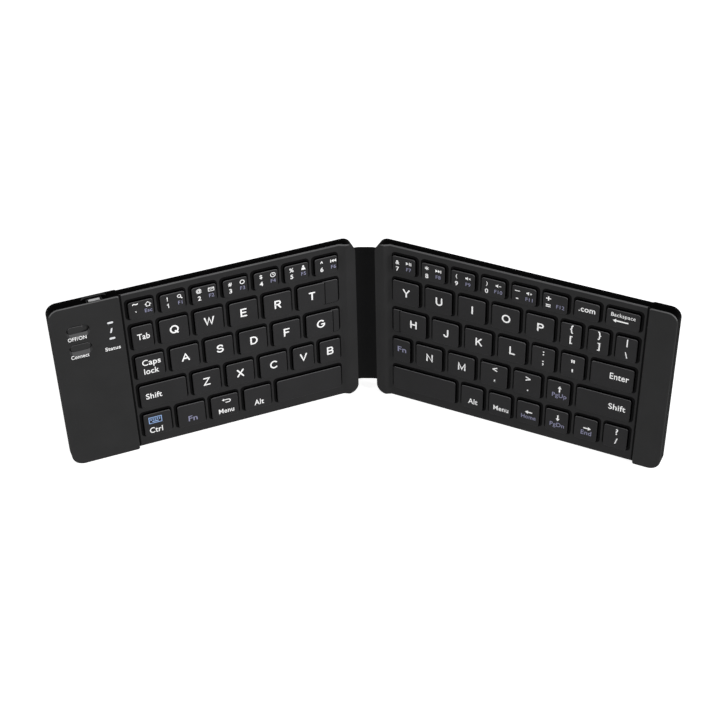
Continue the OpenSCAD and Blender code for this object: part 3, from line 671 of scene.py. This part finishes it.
def draw_stroke(bm, points, width, x, y, z, closed=False, ends=False):
    """A printed line of the given width along the points, which are around (x, y); ends makes its ends round."""
    count = len(points)
    sides = []
    for i, p in enumerate(points):
        before = points[i - 1] if (closed or i) else points[i]
        after = points[(i + 1) % count] if (closed or i < count - 1) else points[i]
        a = Vector((p[0] - before[0], p[1] - before[1])) if before != p else None
        b = Vector((after[0] - p[0], after[1] - p[1])) if after != p else None
        a = (a or b).normalized()
        b = (b or a).normalized()
        bisector = a + b
        bisector = bisector.normalized() if bisector.length > 1e-6 else a
        reach = width / 2 / max(bisector.dot(a), MITER)
        normal = Vector((-bisector.y, bisector.x)) * reach
        sides.append(((p[0] + normal.x, p[1] + normal.y), (p[0] - normal.x, p[1] - normal.y)))
    loops = []
    for across in sides:
        loops.append([bm.verts.new((x + q[0], y + q[1], z + h)) for q in across for h in (0, PRINT_T)])
    if ends:
        for p in (points[0], points[-1]):
            draw_patch(bm, circle(width / 2, END_STEPS, p[0], p[1]), x, y, z - END_DROP)
    last = count if closed else count - 1
    for i in range(last):
        a, b = loops[i], loops[(i + 1) % count]
        for m, n in ((0, 1), (1, 3), (3, 2), (2, 0)):
            bm.faces.new((a[m], a[n], b[n], b[m]))
    if not closed:
        for end in (loops[0], loops[-1]):
            bm.faces.new((end[0], end[1], end[3], end[2]))


def draw_patch(bm, points, x, y, z):
    """A printed filled shape; its points run anticlockwise."""
    outline = [(x + p[0], y + p[1]) for p in points]
    loft(bm, [at_height(outline, z), at_height(outline, z + PRINT_T)])


def circle(r, steps=20, x=0.0, y=0.0):
    return [(x + r * math.cos(math.tau * i / steps), y + r * math.sin(math.tau * i / steps)) for i in range(steps)]


# ---- icons ----
# An icon's parts are (points, width, closed): a width of None makes a filled patch.


def line(width, *points):
    return points, width, False


def loop(width, points):
    return points, width, True


def patch(*points):
    return points, None, True


def oblong(x0, y0, x1, y1):
    return (x0, y0), (x1, y0), (x1, y1), (x0, y1)


def triangle(x, w):
    """A triangle w wide that points right where w is positive and left where it is negative."""
    points = [(x, -0.3), (x + w, 0), (x, 0.3)]
    return patch(*(points if w > 0 else reversed(points)))


SPEAKER = patch((-0.5, -0.14), (-0.3, -0.14), (-0.06, -0.34), (-0.06, 0.34), (-0.3, 0.14), (-0.5, 0.14))
MINUS = line(0.12, (0.1, 0), (0.46, 0))
TINY_KEYS = [(-0.34 + 0.17 * column, 0.03 + 0.12 * row) for row in range(2) for column in range(5)]
# Icons 1 high round (0, 0)
ICONS = {
    "home": [loop(0.12, [(0.3, -0.02), (0.5, -0.02), (0, 0.44), (-0.5, -0.02), (-0.3, -0.02), (-0.3, -0.4),
                         (0.3, -0.4)])],
    "search": [loop(0.13, circle(0.28, 18, -0.08, 0.1)), line(0.17, (0.14, -0.12), (0.42, -0.42))],
    "mail": [loop(0.1, oblong(-0.48, -0.32, 0.48, 0.32)), line(0.1, (-0.42, 0.26), (0, -0.04), (0.42, 0.26))],
    "ring": [loop(0.14, circle(0.36))],
    "clock": [loop(0.11, circle(0.42)), line(0.11, (0, 0.28), (0, 0), (0.2, -0.1))],
    "person": [patch(*circle(0.19, 14, 0, 0.27)), patch((-0.4, -0.42), (0.4, -0.42), (0.22, 0.03), (-0.22, 0.03))],
    "previous": [triangle(0.5, -0.45), triangle(0.05, -0.45), line(0.13, (-0.48, -0.3), (-0.48, 0.3))],
    "play": [triangle(-0.5, 0.5), line(0.14, (0.14, -0.3), (0.14, 0.3)), line(0.14, (0.4, -0.3), (0.4, 0.3))],
    "next": [triangle(-0.5, 0.45), triangle(-0.05, 0.45), line(0.13, (0.48, -0.3), (0.48, 0.3))],
    "mute": [SPEAKER, line(0.1, (0.12, -0.16), (0.44, 0.16)), line(0.1, (0.12, 0.16), (0.44, -0.16))],
    "quieter": [SPEAKER, MINUS],
    "louder": [SPEAKER, MINUS, line(0.12, (0.28, -0.18), (0.28, 0.18))],
    "keyboard": [loop(0.06, oblong(-0.5, -0.28, 0.5, 0.28)),
                 *[patch(*oblong(x - 0.05, y - 0.035, x + 0.05, y + 0.035)) for x, y in TINY_KEYS],
                 patch(*oblong(-0.26, -0.17, 0.26, -0.09))],
    "turn_back": [line(0.1, (-0.3, 0.19), *arc(0.24, 0, 0.2, 0.19, 90, -90, 8), (-0.12, -0.19)),
                  patch((-0.27, 0.02), (-0.27, 0.36), (-0.52, 0.19))],
}
ARROWS = {"arrow_right": 0, "arrow_up": 1, "arrow_left": 2, "arrow_down": 3}    # in quarter turns


def arrow(size, quarters):
    """The parts of an arrow of that length; its head and its shaft grow no further than those of a short one."""
    c, d = round(math.cos(quarters * math.pi / 2)), round(math.sin(quarters * math.pi / 2))
    end, head = 0.5 * size, min(0.28 * size, 1.05)
    shaft = [(-end, 0), (end - 1.3 * head, 0)]
    tip = [(end - 1.5 * head, -head), (end, 0), (end - 1.5 * head, head)]
    shaft, tip = ([(c * x - d * y, d * x + c * y) for x, y in points] for points in (shaft, tip))
    return [line(min(0.18 * size, 0.7), *shaft), patch(*tip)]


def draw_icon(bm, name, size, x, y, z):
    """Draws an icon of that size with its middle at (x, y)."""
    if name in ARROWS:
        parts = arrow(size, ARROWS[name])
    else:
        parts = [([(px * size, py * size) for px, py in points], width and width * size, closed)
                 for points, width, closed in ICONS[name]]
    for points, width, closed in parts:
        if width:
            draw_stroke(bm, points, width, x, y, z, closed)
        else:
            draw_patch(bm, points, x, y, z)


# ---- what is printed on each key ----
# A mark is (colour, what, height, x, y, width): what is a word, an icon's name after an "@" or a letter in strokes
# after a "*". x is the middle of the mark from the key's left edge. y is its baseline from the key's front edge, or
# an icon's middle. A width of None keeps the lettering's own.

LETTER_CAP = 4.6         # height of the letters, and of their baseline above the key's front edge
DIGIT_CAP, DIGIT_Y = 2.4, 1.5       # height and baseline of a number key's digit, of the sign above it, of the icon
SIGN_CAP, SIGN_Y = 2.2, 5.3         # beside them and of the function's name
ICON_SIZE, ICON_Y = 2.8, 6.7
FUNCTION_CAP, FUNCTION_Y = 1.9, 2.4
# Signs that need another size or place than a capital: (the height of their font's capitals, how far they are raised)
SIGN_SHAPES = {"~": (3.4, 1.0), "(": (1.9, 0.7), ")": (1.9, 0.7), "@": (1.9, 0.7), "$": (2.0, 0.4), "#": (2.0, 0.3),
               "_": (3.2, 2.0), "+": (3.4, -0.2), "=": (3.2, -0.2), "*": (3.0, -0.4), "-": (3.0, 0.2)}


def number_key(digit, shifted, icon, function, x=3.4, function_x=9.3, lift=0.5):
    marks = []
    for sign, size, y in ((digit, DIGIT_CAP, DIGIT_Y), (shifted, SIGN_CAP, SIGN_Y)):
        size, raised = SIGN_SHAPES.get(sign, (size, 0.0))
        marks.append(("white", sign, size, x, y + lift + raised, None))
    if icon:
        marks.append(("white", "@" + icon, ICON_SIZE, function_x, ICON_Y + lift / 2, None))
    marks.append(("violet", function, FUNCTION_CAP, function_x, FUNCTION_Y + lift / 2, None))
    return marks


def two_signs(upper, lower, x, upper_y, lower_y, height):
    return [("white", upper, height, x, upper_y, None), ("white", lower, height, x, lower_y, None)]


NUMBER_LEFT = [
    number_key("`", "~", "home", "Esc"), number_key("*1", "!", "search", "F1"),
    number_key("2", "@", "mail", "F2"), number_key("3", "#", "ring", "F3"),
    number_key("4", "$", "clock", "F4"), number_key("5", "%", "person", "F5"),
    number_key("6", "^", "previous", "F6")]
RIGHT_X = {"x": 2.7, "function_x": 8.5, "lift": -0.1}
NUMBER_RIGHT = [
    number_key("7", "&", "play", "F7", **RIGHT_X), number_key("8", "*", "next", "F8", **RIGHT_X),
    number_key("9", "(", "mute", "F9", **RIGHT_X), number_key("0", ")", "quieter", "F10", **RIGHT_X),
    number_key("-", "_", "louder", "F11", **RIGHT_X), number_key("=", "+", None, "F12", **RIGHT_X),
    [("white", ".com", 3.0, 6.0, 4.2, 7.8)],
    [("white", "Backspace", 2.0, 7.9, 5.9, 11.4), ("white", "@arrow_left", 7.3, 6.8, 3.7, None)]]
COMMAND_LEFT = [
    [("white", "Tab", 3.3, 5.4, 5.4, 5.9)],
    [("white", "Caps", 3.3, 7.5, 7.5, 8.9), ("white", "lock", 3.2, 7.1, 2.4, 7.2)],
    [("white", "Shift", 3.2, 6.7, 5.0, 7.9)],
    [("blue", "@keyboard", 6.2, 5.8, 9.2, None), ("white", "Ctrl", 3.3, 5.7, 1.5, 6.5)],
    [("violet", "Fn", 3.2, 7.3, 2.8, 4.5)],
    [("white", "@turn_back", 4.4, 7.8, 9.6, None), ("white", "Menu", 2.8, 7.4, 2.4, 7.8)],
    [("white", "Alt", 3.2, 7.3, 2.3, 4.9)]]
COMMAND_RIGHT = [
    two_signs("{", "[", 5.2, 9.0, 3.1, 3.4), two_signs("}", "]", 5.3, 9.2, 3.2, 3.4),
    two_signs("|", "\\", 5.2, 9.2, 1.9, 3.2),
    two_signs(":", ";", 5.7, 8.9, 3.4, 3.4), two_signs("\"", "'", 5.7, 6.0, 0.6, 4.4),
    [("white", "Enter", 3.5, 13.8, 5.6, 9.2)],
    [("violet", "Fn", 3.2, 4.8, 6.0, 4.5)],
    two_signs("<", ",", 7.3, 8.8, 3.6, 3.4), two_signs(">", ".", 7.3, 8.3, 2.9, 3.4),
    [("white", "@arrow_up", 3.6, 6.2, 8.9, None), ("violet", "PgUp", 2.4, 6.2, 4.0, 7.2)],
    [("white", "Shift", 3.3, 20.0, 5.4, 8.3)],
    [("white", "Alt", 3.2, 6.2, 3.0, 4.9)],
    [("white", "Menu", 2.8, 6.3, 3.4, 7.8)],
    [("white", "@arrow_left", 3.8, 6.0, 7.4, None), ("violet", "Home", 2.4, 6.0, 3.4, 7.4)],
    [("white", "@arrow_down", 3.6, 6.2, 8.7, None), ("violet", "PgDn", 2.4, 6.0, 3.4, 7.2)],
    [("white", "@arrow_right", 3.8, 6.5, 7.3, None), ("violet", "End", 2.6, 6.1, 3.3, 5.2)],
    two_signs("?", "/", 6.4, 8.4, 2.8, 3.4)]
LETTER_SHIFT = {"T": 0.35, "G": 0.6, "A": 0.3, "S": 0.4, "D": 0.35}    # to the right of the key's middle
RIGHT_SHIFT = 0.35       # of every letter of the right half
LINE_END = 0.3           # a ledge's line stops this far from the key's edges
LINE_UNDER = 0.1         # and starts this far under the key's main top
LINE_R = 0.1


def draw_marks(prints, marks, x0, y0, z):
    for colour, what, height, x, y, width in marks:
        place = prints[colour], what[1:], height, x0 + x, y0 + y, z
        if what.startswith("@") and len(what) > 1:
            draw_icon(*place)
        elif what.startswith("*") and len(what) > 1:
            draw_letter(*place)
        else:
            bold = SIGN_BOLD if len(what) == 1 else FINE if height < SMALL else BOLD
            draw_word(prints[colour], what, height, x0 + x, y0 + y, z, width, bold)


def key_node(node, panel, legends=None, letter=None, ledge_side=0):
    """Builds the keycaps of one CAD node and what is printed on them."""
    caps = bmesh.new()
    prints = collections.defaultdict(bmesh.new)
    for i, box in enumerate(panel.boxes(node)):
        draw_keycap(caps, box, ledge_side)
        x0, y0, x1, y1 = key_top(box)
        top = box[1][2]
        if legends:
            draw_marks(prints, legends[i], x0, y0, top)
        if letter:
            main_w = LETTER_KEY_W if ledge_side else x1 - x0
            start = x1 - main_w if ledge_side < 0 else x0
            shift = LETTER_SHIFT.get(letter, RIGHT_SHIFT if panel is right else 0.0)
            draw_letter(prints["white"], letter, LETTER_CAP, start + main_w / 2 + shift, y0 + LETTER_CAP, top)
        if ledge_side:
            edge = x0 + LETTER_KEY_W if ledge_side > 0 else x1 - LETTER_KEY_W
            line0, line1 = sorted((edge - ledge_side * LINE_UNDER, edge + ledge_side * LEDGE_LINE))
            outline = rounded(line0, y0 + LINE_END, line1, y1 - LINE_END, LINE_R, 2)
            # A painted shadow line beside the ledge
            draw_patch(prints["seam"], outline, 0, 0, top - LEDGE_DROP)
    cap = finish_mesh(node.replace("key_", "keycap_") if letter else node + "_caps", caps, panel, "key", node)
    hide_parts(node)
    for colour, bm in prints.items():
        finish_mesh("legend_" + colour + "_" + node, bm, panel, colour, node)


LEDGES = {"t": 1, "g": 1, "h": -1}
HALVES = [(left, "left", "qwertasdfgzxcvb"), (right, "right", "yuiophjklnm")]
for panel, side, names in HALVES:
    for name in names:
        key_node("key_" + name, panel, letter=name.upper(), ledge_side=LEDGES.get(name, 0))
key_node("space_left", left)
key_node("space_right", right)
key_node("number_keys_left", left, NUMBER_LEFT)
key_node("number_keys_right", right, NUMBER_RIGHT)
key_node("command_keys_left", left, COMMAND_LEFT)
key_node("command_keys_right", right, COMMAND_RIGHT)

# ---- labels on the left block ----

LABEL_CAP = 2.0


def block_labels():
    """The words at the controls, placed from the connect button and from the status lights."""
    top = left.boxes("block_cover_left")[0][1][2]
    button = middle(left.boxes("connect_button")[0])
    lights = [middle(box) for box in left.boxes("status_lights")]
    bm = bmesh.new()
    draw_word(bm, "OFF/ON", LABEL_CAP, button[0] - 0.9, button[1] + 4.3, top, 8.6)
    draw_word(bm, "Connect", LABEL_CAP, button[0] - 0.8, button[1] - 5.8, top, 8.4)
    draw_word(bm, "Status", LABEL_CAP, lights[0][0] - 0.4, lights[1][1] - 10.9, top, 7.2)
    finish_mesh("block_labels", bm, left, "white", "left_half")


block_labels()

# ---- painted shade round the keys' openings ----


def opening_shadows(panel, side, letters):
    """A black sheet on the deck that paints the shade round each opening, widest along its rear and outer sides."""
    reach = (OPENING_SHADE_OUTER, OPENING_SHADE_INNER) if side == "left" else (OPENING_SHADE_INNER, OPENING_SHADE_OUTER)
    bm = bmesh.new()
    for node in ["key_" + name for name in letters] + [k + side for k in ("space_", "number_keys_", "command_keys_")]:
        for box in panel.boxes(node):
            x0, y0, x1, y1 = key_top(box)
            x0, y0, x1, y1 = x0 - KEY_GAP, y0 - KEY_GAP, x1 + KEY_GAP, y1 + KEY_GAP
            r = KEY_CORNER_R + KEY_GAP
            edge = rounded(x0 - reach[0], y0 - OPENING_SHADE_FRONT, x1 + reach[1], y1 + OPENING_SHADE_REAR, r + OPENING_SHADE_ROUNDER)
            flat_ring(bm, rounded(x0, y0, x1, y1, r), edge, DECK_H)
    finish_mesh("opening_shadows_" + side, bm, panel, "seam", side + "_half")


for panel, side, names in HALVES:
    opening_shadows(panel, side, names)

# ---- the charging socket's tongue, a painted highlight, and painted shade round the controls ----


def socket_tongue():
    # The tongue is white and thicker than the CAD's: a painted highlight in the socket
    box = left.boxes("charging_socket")[0]
    x, _, z = middle(box)
    rear = box[1][1]
    half_w, half_t = TONGUE_W / 2, TONGUE_T / 2
    section = oblong(x - half_w, z - half_t, x + half_w, z + half_t)
    bm = bmesh.new()
    loft(bm, [[(px, y, pz) for px, pz in section] for y in (rear - TONGUE_DEPTH, rear + TONGUE_PROUD)])
    finish_mesh("socket_tongue", bm, left, "tongue", "left_half")


def control_shadows():
    """Painted shade: a black ring round the switch's slot and the connect button, on the floor of their recesses."""
    floor_z = left.boxes("block_cover_left")[0][1][2] - DISH_DEPTH
    bm = bmesh.new()
    for node, length, travel in (("power_switch_knob", KNOB_LEN, SWITCH_TRAVEL), ("connect_button", BUTTON_LEN, 0.0)):
        x, y, _ = middle(left.boxes(node)[0])
        x += travel / 2
        half, r = (length + travel) / 2, KNOB_D / 2
        hole, edge = (rounded(x - half - w, y - r - w, x + half + w, y + r + w, r + w, 8) for w in (0.0, CONTROL_SHADE_W))
        flat_ring(bm, hole, edge, floor_z)
    finish_mesh("control_shadows", bm, left, "seam", "left_half")


socket_tongue()
control_shadows()

# ---- painted shade between the end blocks and the key decks ----


def block_shadow_strip(panel, side):
    """A black strip on the deck along the end block's edge: painted shade in place of the groove there."""
    low, high = panel.boxes("block_cover_" + side)[0]
    deck_low, deck_high = panel.boxes("deck_" + side)[0]
    edge, away = (high[0], 1) if side == "left" else (low[0], -1)
    x0, x1 = sorted((edge + away * BLOCK_SHADE_OFF, edge + away * BLOCK_SHADE_W))
    outline = rounded(x0, deck_low[1] + BLOCK_SHADE_END, x1, deck_high[1] - BLOCK_SHADE_END, BLOCK_SHADE_R, 2)
    bm = bmesh.new()
    loft(bm, [at_height(outline, DECK_H), at_height(outline, DECK_H + TRIM_T)])
    finish_mesh("block_shadow_strip_" + side, bm, panel, "seam", side + "_half")


for panel, side, _ in HALVES:
    block_shadow_strip(panel, side)

# ---- the flexible strip ----

BEND_STEPS = 8


def strip_path(axis, start, end):
    """The strip's middle line from inside a half, through its bend, to the strip's middle, in metres."""
    outward = (start - axis).normalized()
    points = [axis + outward * (STRIP_CLAMP + AXIS_OFF) * MM]
    for i in range(BEND_STEPS + 1):
        t = i / BEND_STEPS
        points.append(start * (1 - t) ** 2 + axis * 2 * t * (1 - t) + end * t ** 2)
    points.append(Vector((0, axis.y, axis.z)))
    return points


def strip_piece(name, fold, panel, bodies, nodes):
    """One half of the strip, drawn at rest from inside a half, through its bend, to the strip's middle."""
    axis = Vector(joints[fold]["pos_m"])
    start = axis + panel.outward * STRIP_BEND * MM
    end = axis + Vector((-axis.x, 0, 0)).normalized() * STRIP_BEND * MM
    path = strip_path(axis, start, end)
    low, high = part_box("strip_middle")
    half_t = STRIP_T * MM / 2
    section = rounded(-half_t, low.z, half_t, high.z, half_t * STRIP_ROUND, 4)
    rings = []
    for i, p in enumerate(path):
        before, after = path[max(i - 1, 0)], path[min(i + 1, len(path) - 1)]
        along = (after - before).normalized()
        if i == len(path) - 1:
            along = Vector((along.x, 0, 0)).normalized()
        across = Vector((-along.y, along.x, 0))
        rings.append([(p.x + across.x * a, p.y + across.y * a, z) for a, z in section])
    bm = bmesh.new()
    loft(bm, rings)
    obj = new_piece(name, bm, "leather")
    if bodies[0] == "strip":
        start, end = end, start
    bodies[0]
    bodies[1]
    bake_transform(obj)
    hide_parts(*nodes)


strip_piece("strip_leather_left", "left_fold", left, ("left_half", "strip"), ["strip_end_left", "strip_middle"])
strip_piece("strip_leather_right", "right_fold", right, ("strip", "right_half"), ["strip_end_right"])

# ---- floor, light and camera ----

FLOOR_GLOW = 0.8         # with the floor's own 0.8 it looks white
SKY = 0.18
LAMP_AIM = (0, 0, 0.04)
LAMP_H = 0.35
LAMPS = [                # (name, place, width, watts)
    ("right", (1.15, -0.58, 0.50), 0.45, 14.5),
    ("left", (-1.15, -0.58, 0.50), 0.45, 6.5),
    ("front", (0.0, -1.35, 0.40), 0.7, 3.5)]
CAMERA_PLACE = Vector((27.95, -583.86, 490.9)) * MM
YAW, PITCH, ROLL = (math.radians(degrees) for degrees in (-2.964, 37.582, -1.492))
FOCAL_LENGTH = 77.1      # for a sensor 36 wide


def floor():
    """White to the camera and in reflections, and a plain pale floor in all other light."""
    material = bpy.data.materials.new("floor_white")
    tree = Tree(material)
    path = tree.add("LightPath").outputs
    seen = tree.math("MAXIMUM", path["Is Camera Ray"], path["Is Glossy Ray"])
    plain = tree.nodes["Principled BSDF"]
    tree.fill(plain, {"Base Color": (0.8, 0.8, 0.8, 1), "Roughness": 0.9, "Specular IOR Level": 0.1})
    glow = tree.add("Emission", {"Strength": FLOOR_GLOW})
    both = tree.add("AddShader", {0: plain.outputs["BSDF"], 1: glow.outputs["Emission"]})
    pick = tree.add("MixShader", {"Fac": seen, 1: plain.outputs["BSDF"], 2: both.outputs["Shader"]})
    tree.fill(tree.nodes["Material Output"], {"Surface": pick.outputs["Shader"]})
    bpy.ops.mesh.primitive_plane_add(size=6, location=(0, 0, 0))
    plane = bpy.context.active_object
    plane.name = "floor"
    plane.data.materials.append(material)


def world():
    """White to the camera, in reflections and through clear pieces, and a dim even light otherwise."""
    sky = bpy.data.worlds.new("studio")
    bpy.context.scene.world = sky
    tree = Tree(sky)
    tree.nodes.clear()
    path = tree.add("LightPath").outputs
    seen = tree.math("MAXIMUM", path["Is Camera Ray"], path["Is Glossy Ray"])
    clear = tree.math("MAXIMUM", seen, path["Is Transmission Ray"])
    soft, white = (tree.add("Background", {"Color": (1, 1, 1, 1), "Strength": strength}) for strength in (SKY, 1.0))
    mix = tree.add("MixShader", {"Fac": clear, 1: soft.outputs["Background"], 2: white.outputs["Background"]})
    tree.add("OutputWorld", {"Surface": mix.outputs["Shader"]})


def area_light(name, place, width, energy):
    lamp = bpy.data.lights.new(name, "AREA")
    lamp.shape = "RECTANGLE"
    lamp.size = width
    lamp.size_y = LAMP_H
    lamp.energy = energy
    obj = bpy.data.objects.new(name, lamp)
    bpy.context.scene.collection.objects.link(obj)
    obj.location = place
    aim = Vector(LAMP_AIM) - Vector(place)
    obj.rotation_euler = aim.to_track_quat("-Z", "Y").to_euler()


def camera():
    """At the measured place: 0.76 m away, looking down, slightly from the right."""
    ahead = Vector((math.sin(YAW) * math.cos(PITCH), math.cos(YAW) * math.cos(PITCH), -math.sin(PITCH)))
    level = Vector((math.cos(YAW), -math.sin(YAW), 0))
    up = level.cross(ahead)
    side = math.cos(ROLL) * level + math.sin(ROLL) * up
    top = -math.sin(ROLL) * level + math.cos(ROLL) * up
    lens = bpy.data.cameras.new("camera")
    lens.lens = FOCAL_LENGTH
    lens.sensor_width = 36
    lens.clip_start = 0.01
    obj = bpy.data.objects.new("camera", lens)
    bpy.context.scene.collection.objects.link(obj)
    obj.matrix_world = Matrix.Translation(CAMERA_PLACE) @ Matrix((side, top, -ahead)).transposed().to_4x4()
    bpy.context.scene.camera = obj


floor()
world()
for lamp in LAMPS:
    area_light(*lamp)
camera()
bpy.context.scene.view_settings.view_transform = "Standard"
